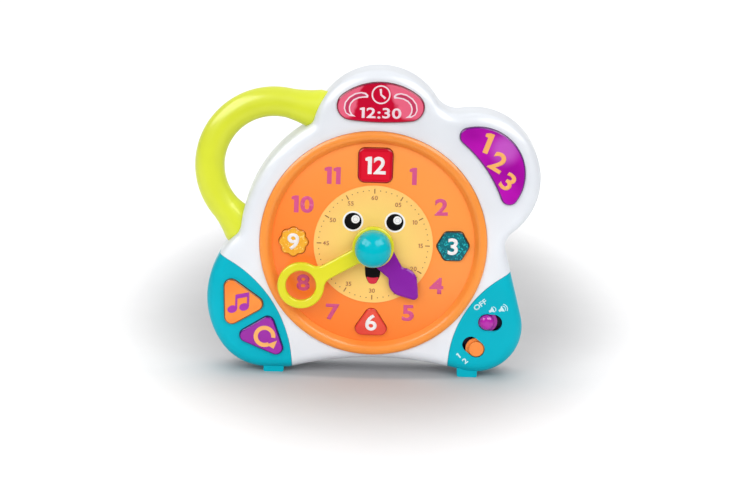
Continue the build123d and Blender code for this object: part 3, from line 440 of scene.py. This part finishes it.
# ---- Smiling face on the disc
# Two printed eyes and the part of a mouth that shows below the knob. The inks are black,
# white, red and grey, printed one over the other.
black = moulded("black ink", paint(10, 9, 12), roughness=0.45, coat=0.0, shine=0.12)
bright = moulded("white ink", paint(252, 252, 252), roughness=0.35, coat=0.05)
red_ink = moulded("red ink", paint(226, 44, 70), roughness=0.4, coat=0.05)
grey_ink = moulded("grey ink", paint(196, 198, 204), roughness=0.4, coat=0.05)


def spot(radius):
    shape = bmesh.new()
    bmesh.ops.create_circle(shape, cap_ends=True, segments=48, radius=radius)
    return shape


def loop(outer, inner):
    """Flat ring between two radii."""
    shape = spot(inner)
    inner_edges = shape.edges[:]
    bmesh.ops.delete(shape, geom=shape.faces[:], context="FACES_ONLY")
    grown = bmesh.ops.extrude_edge_only(shape, edges=inner_edges)
    far = [v for v in grown["geom"] if isinstance(v, bmesh.types.BMVert)]
    bmesh.ops.scale(shape, verts=far, vec=Vector((1, 1, 1)) * outer / inner)
    return shape


for side, name in ((-1, "left"), (1, "right")):
    eye_x, eye_z = 16.0 * side, 17.7
    glint_x, glint_z = eye_x + 1.9, eye_z + 1.6
    for layer, shape, ink, x, z, rise in (
        ("white", spot(7.9), bright, eye_x, eye_z, 1.0),
        ("black", spot(6.55), black, eye_x, eye_z, 1.8),
        ("glint", spot(3.2), bright, glint_x, glint_z, 2.6),
        ("ring", loop(2.0, 1.7), grey_ink, glint_x, glint_z, 3.2),
    ):
        layer_name = f"{name}_eye_{layer}"
        laid(layer_name, shape, "face_disc", "casing", ink, x, z, rise=rise)

mouth_points = [(-6.4, 12.0), (6.4, 12.0), (5.6, 2.4), (2.6, -3.6), (-2.6, -3.6), (-5.6, 2.4)]
mouth = outlined(mouth_points, 1.8)
laid("mouth", mouth, "face_disc", "casing", black, 0.2, -27.3)
tongue_points = [(-5.0, 2.0), (-1.5, 1.2), (1.5, 1.2), (5.0, 2.0), (2.5, -3.6), (-2.5, -3.6)]
tongue = outlined(tongue_points, 1.4)
laid("tongue", tongue, "face_disc", "casing", red_ink, 0.2, -27.2, rise=1.8)

# ---- Hands and knob
# A purple leaf for the hour, a yellow ring for the minute that frames the hours, and a
# polished ball knob in bright blue that turns them. All three are moulded ABS.
purple = moulded("purple hand", paint(138, 20, 168), roughness=0.2, shine=0.2)
yellow = moulded("yellow hand", paint(230, 225, 38), roughness=0.26)
blue = moulded("blue knob", paint(0, 192, 208), roughness=0.1, coat=0.0, grain=0.006, shine=0.16)
finish_nodes(purple, "hour_hand")
finish_nodes(yellow, "minute_hand")
finish_nodes(blue, "nose_knob")

# ---- Number buttons
# Four caps of tinted acrylic over lamps. Twelve is a square in a bevelled frame, three a
# hexagon, six a triangle and nine a flower, and three and nine hold fine glitter.
sideways, backwards, upwards = (1.0, 0.0, 0.0), (0.0, 1.0, 0.0), (0.0, 0.0, 1.0)


def edged(finish, node, flat_colour, edge_shade):
    """Colour of a cap, with painted shade where the cap turns down at its border."""
    fall = finish.along(backwards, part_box(node)[0])
    return finish.mixed(fall.step(0.01, 0.08), flat_colour, edge_shade)


def capped(name, node, deep, clear, edge_shade, light_patch=None, painted_light=None, roughness=0.16):
    """Tinted acrylic with faint clouds, painted shade at its border and, where asked, an area of
    painted light.
    """
    finish = Finish(name)
    tint = finish.mixed(finish.noise(per_metre=40.0).step(0.3, 0.7), deep, clear)
    # Where asked, an area of painted light is mixed into the tint
    if light_patch:
        tint = finish.mixed(light_patch(finish), tint, painted_light)
    finish.shade(
        base_color=edged(finish, node, tint, edge_shade),
        roughness=roughness + 0.06 * (finish.noise(per_metre=90.0) - 0.5),
        coat_weight=0.25,
        coat_roughness=0.05,
        specular_ior_level=0.35,
    )
    finish.bumped(finish.noise(per_metre=300.0), strength=0.05, distance=0.2 * mm)
    finish_nodes(finish, node)


def glittered(name, node, deep, clear, fleck, edge_shade, flecks, per_metre):
    """Tinted acrylic with glitter: cells of uneven colour, some of which flash."""
    finish = Finish(name)
    cell_inputs = {"Vector": finish.place, "Scale": per_metre, "Randomness": 1.0}
    cell = finish.node("TexVoronoi", {"feature": "F1"}, cell_inputs, "Color")
    shade = finish.node("SeparateColor", {}, {"Color": cell}, "Red")
    flash = finish.node("SeparateColor", {}, {"Color": cell}, "Green")
    body = finish.mixed(0.7 * finish.noise(per_metre=70.0) + 0.4 * shade, deep, clear)
    glint = flash.step(1 - flecks - 0.02, 1 - flecks + 0.02)
    # The cap's colour is darker as painted shade where it turns down at its border
    finish.shade(
        base_color=edged(finish, node, finish.mixed(glint * 0.8, body, fleck), edge_shade),
        roughness=0.16 + 0.1 * shade,
        coat_weight=0.3,
        coat_roughness=0.05,
        specular_ior_level=0.4,
    )
    finish.bumped(shade, strength=0.1, distance=0.2 * mm)
    finish_nodes(finish, node)


def middle_of_twelve(finish):
    """Zero on the bevelled frame of the square button, which stays darker as painted shade, and
    one on its middle, which gets painted light.
    """
    low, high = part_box("button_12")
    middle = (low + high) / 2
    offsets = []
    for way in (sideways, upwards):
        offset = finish.along(way, middle)
        offsets.append(finish.node("Math", {"operation": "ABSOLUTE"}, {0: offset}))
    outwards = finish.node("Math", {"operation": "MAXIMUM"}, {0: offsets[0], 1: offsets[1]})
    return 1 - outwards.step(10.2, 11.4)


capped(
    "red button", "button_12", paint(208, 0, 34), paint(214, 4, 38), paint(178, 4, 44),
    light_patch=middle_of_twelve, painted_light=paint(228, 18, 48),
)
capped(
    "coral button", "button_6", paint(228, 62, 44), paint(240, 84, 60), paint(222, 62, 52)
)
glittered(
    "teal button", "button_3", paint(0, 74, 86), paint(0, 130, 142), paint(36, 196, 202),
    paint(0, 56, 64), flecks=0.22, per_metre=900.0,
)
glittered(
    "amber button", "button_9", paint(238, 158, 26), paint(255, 190, 58),
    paint(255, 220, 120), paint(224, 140, 22), flecks=0.12, per_metre=1000.0,
)
cloudy = moulded("cloudy ink", paint(248, 242, 242), roughness=0.35, coat=0.05)
for hour, slot, height, x, z in (
    (12, "red_key", 13.4, 0.0, 61.2),
    (3, "teal_key", 13.0, 60.8, 0.0),
    (6, "coral_key", 12.8, 0.0, -61.4),
    (9, "amber_key", 13.0, -61.2, 0.3),
):
    figure = digits(str(hour), height, bold=0.022, wide=1.08)
    button, body = f"button_{hour}", f"key_{hour}"
    laid(f"number_{hour}", figure, button, body, cloudy, x, z, rise=2.5)

# ---- Time button
# Crimson lens above the dial. It carries a small clock between two swooshes, over the
# digits of half past twelve, all in a pale print.
swoosh = [
    (-9.5, 5.4), (-11.4, 7.3), (-15.0, 7.9), (-19.6, 6.9), (-24.2, 3.9), (-27.3, -0.2),
    (-28.0, -4.9), (-26.5, -8.6), (-23.3, -10.7), (-18.7, -11.0), (-21.4, -9.2),
    (-22.9, -6.7), (-23.2, -3.9), (-22.3, -1.1), (-20.1, 1.3), (-16.8, 3.0), (-13.2, 3.6),
    (-9.9, 3.6),
]
swoosh_core = [
    (-10.9, 5.1), (-12.3, 6.2), (-15.0, 6.9), (-19.2, 5.9), (-23.5, 3.1), (-26.3, -0.6),
    (-27.0, -4.9), (-25.8, -8.1), (-23.2, -9.6), (-22.6, -9.4), (-23.9, -7.0),
    (-24.2, -3.8), (-23.2, -0.6), (-20.8, 2.2), (-17.1, 4.0), (-13.3, 4.6),
]
little_clock_z = 6.2


def middle_of(node):
    """Middle of a node, in millimetres from the dial's middle."""
    low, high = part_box(node)
    return ((low.x + high.x) / 2 - dial_x) / mm, ((low.z + high.z) / 2 - dial_z) / mm


lens_x, lens_z = middle_of("time_button")


def lens_lights(finish):
    """One at both ends of the lens, where a reflection of the soft boxes is painted as a paler
    tint.
    """
    middle = (dial_x + lens_x * mm, 0.0, dial_z + lens_z * mm)
    cloud = 7.0 * (finish.noise(per_metre=120.0) - 0.5)
    right = (cloud + finish.along((0.90, 0.0, 0.43), middle)).step(8.0, 11.5)
    left = (cloud + finish.along((-0.95, 0.0, 0.32), middle)).step(16.0, 19.0)
    return (right + left) * finish.along(upwards, middle).step(-13.5, -10.5)


def laid_on_lens(name, shape, ink, z, turn=0.0, rise=1.0):
    laid(
        name, shape, "time_button", "time_key", ink, lens_x, lens_z + z, turn, rise
    )


capped(
    "crimson button", "time_button", paint(200, 0, 44), paint(206, 0, 50), paint(150, 0, 52),
    light_patch=lens_lights, painted_light=paint(240, 104, 134), roughness=0.12,
)
pink_ink = moulded("pink ink", paint(206, 62, 100), roughness=0.25, coat=0.0)
blush = moulded("blush ink", paint(250, 226, 234), roughness=0.35, coat=0.0)
for side, name in ((1, "left"), (-1, "right")):
    for layer, points, ink, rise in (
        ("line", swoosh, blush, 1.0), ("core", swoosh_core, pink_ink, 1.8)
    ):
        curl = outlined([(side * x, z) for x, z in points], 0.4, 3)
        laid_on_lens(f"{name}_swoosh_{layer}", curl, ink, 0.0, rise=rise)
laid_on_lens("little_clock_rim", loop(7.2, 6.1), blush, little_clock_z)
for name, turn, rise in (("long", -5, 1.0), ("short", 130, 1.8)):
    pointer = outlined([(-0.6, -0.6), (0.6, -0.6), (0.9, 4.4), (-0.9, 4.4)], 0.4, 4)
    laid_on_lens(f"little_{name}_hand", pointer, blush, little_clock_z, turn, rise)
time_digits = digits("12:30", 8.3, bold=0.02, wide=1.36, gap=0.12)
laid_on_lens("time_digits", time_digits, blush, -8.0, rise=2.4)

# ---- Game button
# Violet crescent on the right lobe with three plain figures that tumble down its length,
# in thick peach print.
peach = moulded("peach print", paint(254, 184, 104), roughness=0.32)


def crescent_light(finish):
    """Near one on an area at the crescent's outer side, which is painted paler as painted light.
    """
    return 0.8 * (1 - finish.away(98.0, 76.0).step(4.0, 15.0))


capped(
    "violet button", "game_button", paint(164, 0, 160), paint(190, 14, 182),
    paint(112, 14, 128), light_patch=crescent_light, painted_light=paint(206, 96, 208), roughness=0.12,
)
for text, height, x, z, turn in (
    ("1", 16.0, 84.0, 81.0, 20), ("2", 15.0, 93.0, 66.5, 30), ("3", 14.0, 101.0, 51.5, 38)
):
    figure = digits(text, height, bold=0.024)
    name = f"game_{text}"
    laid(name, figure, "game_button", "game_key", peach, x, z, turn, rise=2.5)

# ---- Corner buttons
# An orange button for tunes with two joined notes, and a violet one to hear the last
# sound again with an arrow that turns back on itself.
capped(
    "orange button", "tune_button", paint(246, 128, 36), paint(255, 146, 52),
    paint(150, 84, 30), roughness=0.22,
)
capped(
    "plum button", "again_button", paint(150, 20, 160), paint(164, 30, 172),
    paint(66, 0, 118), roughness=0.14,
)
plum = moulded("plum print", paint(168, 44, 176))
tune_x, tune_z = middle_of("tune_button")
notes_x, notes_z = tune_x - 3.4, tune_z - 0.5
notes = (
    ("left_head", moved(spot(3.5), -5.4, -5.6, 20, 1.2, 0.9)),
    ("right_head", moved(spot(3.5), 4.6, -3.4, 20, 1.2, 0.9)),
    ("left_stem", outlined([(-2.9, -5.4), (-1.2, -5.0), (-1.2, 6.4), (-2.9, 6.0)], 0.3)),
    ("right_stem", outlined([(7.1, -3.2), (8.8, -2.8), (8.8, 8.6), (7.1, 8.2)], 0.3)),
    ("beam", outlined([(-2.9, 3.4), (8.8, 6.0), (8.8, 9.6), (-2.9, 7.0)], 0.5)),
)
for n, (name, shape) in enumerate(notes):
    moved(shape, 0, 0, wide=0.9, high=0.9)
    laid(
        f"note_{name}", shape, "tune_button", "tune_key", plum,
        notes_x, notes_z, rise=2.0 + 0.3 * n,
    )

again_x, again_z = middle_of("again_button")
arrow_x, arrow_z = again_x + 2.6, again_z - 0.5
arc = loop(8.4, 5.2)
opening = []
for face in arc.faces:
    middle = face.calc_center_median()
    if -62 < math.degrees(math.atan2(middle.y, middle.x)) < -8:
        opening.append(face)
bmesh.ops.delete(arc, geom=opening, context="FACES")
head = outlined([(-4.6, 0.0), (0.2, 5.6), (4.6, 0.4)], 0.4)
for name, shape, rise in (
    ("again_arc", arc, 2.0), ("again_head", moved(head, 5.6, -4.6, 200, 0.95, 0.95), 2.3)
):
    laid(
        name, shape, "again_button", "again_key", peach,
        arrow_x, arrow_z, rise=rise,
    )

# ---- Slide switches
# A violet knob for the volume and an orange one for the language, each in its slot, with
# small pale marks beside them.
slide_purple = moulded(
    "purple slider", paint(184, 30, 172), roughness=0.16, coat=0.4, grain=0.01
)
slide_orange = moulded("orange slider", paint(254, 146, 66), grain=0.01)
finish_nodes(slide_purple, "volume_slider")
finish_nodes(slide_orange, "language_slider")
pale = moulded("pale ink", paint(206, 240, 244), roughness=0.4, coat=0.0)


def speaker_mark(waves):
    """Small loudspeaker with a number of waves in front of it."""
    horn = [(-3.2, -0.9), (-1.6, -0.9), (0.6, -2.6), (0.6, 2.6), (-1.6, 0.9), (-3.2, 0.9)]
    shapes = [outlined(horn, 0.15, 2)]
    for n in range(waves):
        wave = loop(2.6 + 1.5 * n, 2.0 + 1.5 * n)
        limit = (1.6 + 1.5 * n) * 0.75
        behind = [face for face in wave.faces if face.calc_center_median().x < limit]
        bmesh.ops.delete(wave, geom=behind, context="FACES")
        shapes.append(wave)
    return joined(*shapes)


for name, shape, x, z, turn in (
    ("mark_off", digits("OFF", 4.2), 83.5, -45.6, -38),
    ("mark_quiet", speaker_mark(1), 93.4, -49.2, -32),
    ("mark_loud", speaker_mark(2), 100.8, -48.4, -32),
    ("mark_one", digits("1", 4.4), 68.2, -86.4, -40),
    ("mark_two", digits("2", 4.4), 73.4, -90.4, -40),
):
    laid(name, shape, "right_corner_panel", "casing", pale, x, z, turn)

# ---- Inside of the clock
# Boards of green laminate and a dark one for the switches, lamps, silicone domes, nylon
# wheels, steel screws, spring contacts, the speaker and three cells in steel cans, all
# closed in by the shells.
laminate = moulded("green laminate", paint(28, 104, 58), roughness=0.4, coat=0.3)
silicone = moulded("silicone", paint(214, 214, 206), roughness=0.55, coat=0.0)
nylon = moulded("nylon", paint(232, 228, 214), roughness=0.5, coat=0.0)
dark_plastic = moulded("dark plastic", paint(44, 26, 58), roughness=0.5, coat=0.0)
lamp = moulded("lamp", paint(236, 238, 232), roughness=0.1, coat=0.6)


def metal(name, colour, roughness, streaks):
    """Bare metal with fine turning or rolling marks."""
    finish = Finish(name)
    mark_inputs = {"Vector": finish.place, "Scale": (1.0, 1.0, 9.0)}
    marks_place = finish.node("Mapping", {}, mark_inputs)
    noise_inputs = {"Vector": marks_place, "Scale": streaks, "Detail": 3.0}
    marks = finish.node("TexNoise", {}, noise_inputs)
    finish.shade(
        base_color=finish.mixed(marks, darker(colour, 0.8), colour),
        metallic=1.0,
        roughness=roughness + 0.15 * (marks - 0.5),
    )
    return finish.bumped(marks, strength=0.05, distance=0.1 * mm)


steel = metal("screw steel", paint(176, 178, 184), 0.3, 700.0)
strip = metal("contact strip", paint(206, 190, 150), 0.3, 500.0)
basket = metal("speaker basket", paint(120, 122, 128), 0.45, 300.0)
can = metal("cell can", paint(188, 190, 196), 0.35, 200.0)
finish_nodes(
    laminate, "dial_board", "top_board", "lobe_board", "corner_board", "main_board",
    "encoder_card",
)
finish_nodes(
    silicone, "dome_12", "dome_3", "dome_6", "dome_9", "time_dome", "game_dome",
    "tune_dome", "again_dome",
)
finish_nodes(
    nylon, "minute_arbor", "hour_wheel", "minute_wheel", "movement_plate", "friction_washer"
)
finish_nodes(dark_plastic, "slide_switches", "switch_board")
finish_nodes(lamp, "dial_leds")
finish_nodes(
    steel, "movement_screws", "board_screws", "door_screw", "housing_screws", "wheel_stud"
)
finish_nodes(strip, "contact_brush", "battery_contacts")
finish_nodes(basket, "speaker")
finish_nodes(can, "battery_cells")

# ---- Studio
# White table that glows as painted light away from the clock and so fades into the white room,
# with painted shadow round and under the clock, broad light from both sides and from above, and
# two soft boxes. A long lens looks a little down.
table_half = 15.0
in_front_of_clock = 0.4
table = bmesh.new()
bmesh.ops.create_grid(table, x_segments=1, y_segments=1, size=table_half)
table_shift = Vector((0.0, table_half - in_front_of_clock, 0.0))
bmesh.ops.translate(table, verts=table.verts, vec=table_shift)
table_mesh = bpy.data.meshes.new("table")
table.to_mesh(table_mesh)
table.free()
table_top = bpy.data.objects.new("table", table_mesh)
bpy.context.scene.collection.objects.link(table_top)
paper = Finish("white paper")
# The paper glows as painted light outside a long oval round the clock, which leaves a painted
# shadow round the clock, and a painted shadow darkens the paper under the arch
outward = paper.distance(paper.stretched((to_mm, 450.0, 0.0)), (10.0, 106.0, 0.0))
lit_away = outward.step(125.0, 250.0)
inward = paper.distance(paper.stretched((to_mm, 3700.0, 0.0)), (0.0, 50.0, 0.0))
painted_shadow_under_arch = 1 - inward.step(80.0, 120.0)
clean = paper.mixed(paper.noise(per_metre=30.0), paint(202, 202, 203), paint(206, 206, 207))
paper.shade(
    base_color=paper.mixed(painted_shadow_under_arch, clean, paint(184, 184, 186)),
    roughness=0.8,
    specular_ior_level=0.2,
    emission_color=paper.mixed(lit_away, paint(60, 60, 60), paint(255, 255, 255)),
    emission_strength=0.5,
)
table_mesh.materials.append(paper.material)

# In the gloss of the clock the wall behind it is bright and the room in front is dim, but
# seen directly the whole room is white
dim_room, bright_wall = 0.14, 0.85
world = bpy.data.worlds.new("studio")
world.use_nodes = True
room = Graph(world.node_tree)
direction = room.node("TexCoord", {}, {}, "Generated")
depth = room.node("SeparateXYZ", {}, {0: direction}, "Y")
fade_inputs = {
    "Value": depth, "From Min": 0.1, "From Max": 0.7, "To Min": dim_room, "To Max": bright_wall
}
wall = room.node("MapRange", {}, fade_inputs)
in_gloss = room.node("LightPath", {}, {}, "Is Glossy Ray")
seen_directly = room.node("LightPath", {}, {}, "Is Camera Ray")
soft = room.node("Math", {"operation": "MAXIMUM"}, {0: wall * in_gloss, 1: dim_room})
brightness = room.node("Math", {"operation": "MAXIMUM"}, {0: soft, 1: seen_directly})
background_inputs = {"Color": (1.0, 1.0, 1.0, 1.0), "Strength": brightness}
background = room.node("Background", {}, background_inputs)
room_output = room.tree.nodes.new("ShaderNodeOutputWorld")
room.feed(room_output.inputs["Surface"], background)
bpy.context.scene.world = world


def lit(name, light, turn, height, distance=0.0):
    """Places a light by its turn from the front and its height, facing the dial's middle."""
    holder = bpy.data.objects.new(name, light)
    side, rise = math.radians(turn), math.radians(height)
    flat = math.cos(rise)
    way = Vector((math.sin(side) * flat, -math.cos(side) * flat, math.sin(rise)))
    holder.rotation_euler = way.to_track_quat("Z", "Y").to_euler()
    holder.location = Vector((dial_x, 0.0, dial_z)) + distance * way
    bpy.context.scene.collection.objects.link(holder)
    return holder


# Broad light, which shiny surfaces don't mirror
for name, turn, height, spread, strength in (
    ("left_light", -28, 29, 50, 1.25),
    ("right_light", 28, 29, 50, 1.21),
    ("top_light", 176, 74, 60, 1.6),
):
    light = bpy.data.lights.new(name, "SUN")
    light.angle = math.radians(spread)
    light.energy = strength
    lit(name, light, turn, height).visible_glossy = False

# Two soft boxes, which only the gloss of the pieces shows
for name, turn, height, strength in (
    ("left_window", -66, 44, 7.5),
    ("right_window", 56, 48, 7.0),
):
    light = bpy.data.lights.new(name, "AREA")
    light.shape = "RECTANGLE"
    light.size = 0.9
    light.size_y = 0.55
    light.energy = strength * math.pi * light.size * light.size_y
    lit(name, light, turn, height, distance=0.9).visible_diffuse = False

# The camera's distance and lens give 0.765 mm to a pixel at the front of the casing, and
# it is aimed so that the dial's middle comes to its place in the picture
pixel = 0.765 * mm
picture_width = 750
picture_middle = (375.0, 250.0)
dial_in_picture = (373.3, 243.6)
camera_distance = 2.0
lens = bpy.data.cameras.new("camera")
lens.sensor_width = 36.0
lens.lens = lens.sensor_width * camera_distance / (picture_width * pixel)
camera = bpy.data.objects.new("camera", lens)
tilt = math.radians(12.0)
roll = math.radians(1.7)
back = Vector((0, -math.cos(tilt), math.sin(tilt)))
level_right = Vector((1, 0, 0))
rolled = Matrix.Rotation(roll, 3, back)
right = rolled @ level_right
up = rolled @ back.cross(level_right)
target = Vector((dial_x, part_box("front_housing")[0].y, dial_z))
pixels_right = picture_middle[0] - dial_in_picture[0]
pixels_up = dial_in_picture[1] - picture_middle[1]
target += right * pixels_right * pixel + up * pixels_up * pixel
pose = Matrix((right, up, back)).transposed().to_4x4()
pose.translation = target + back * camera_distance
camera.matrix_world = pose
bpy.context.scene.collection.objects.link(camera)
bpy.context.scene.camera = camera
bpy.context.scene.view_settings.view_transform = "Standard"
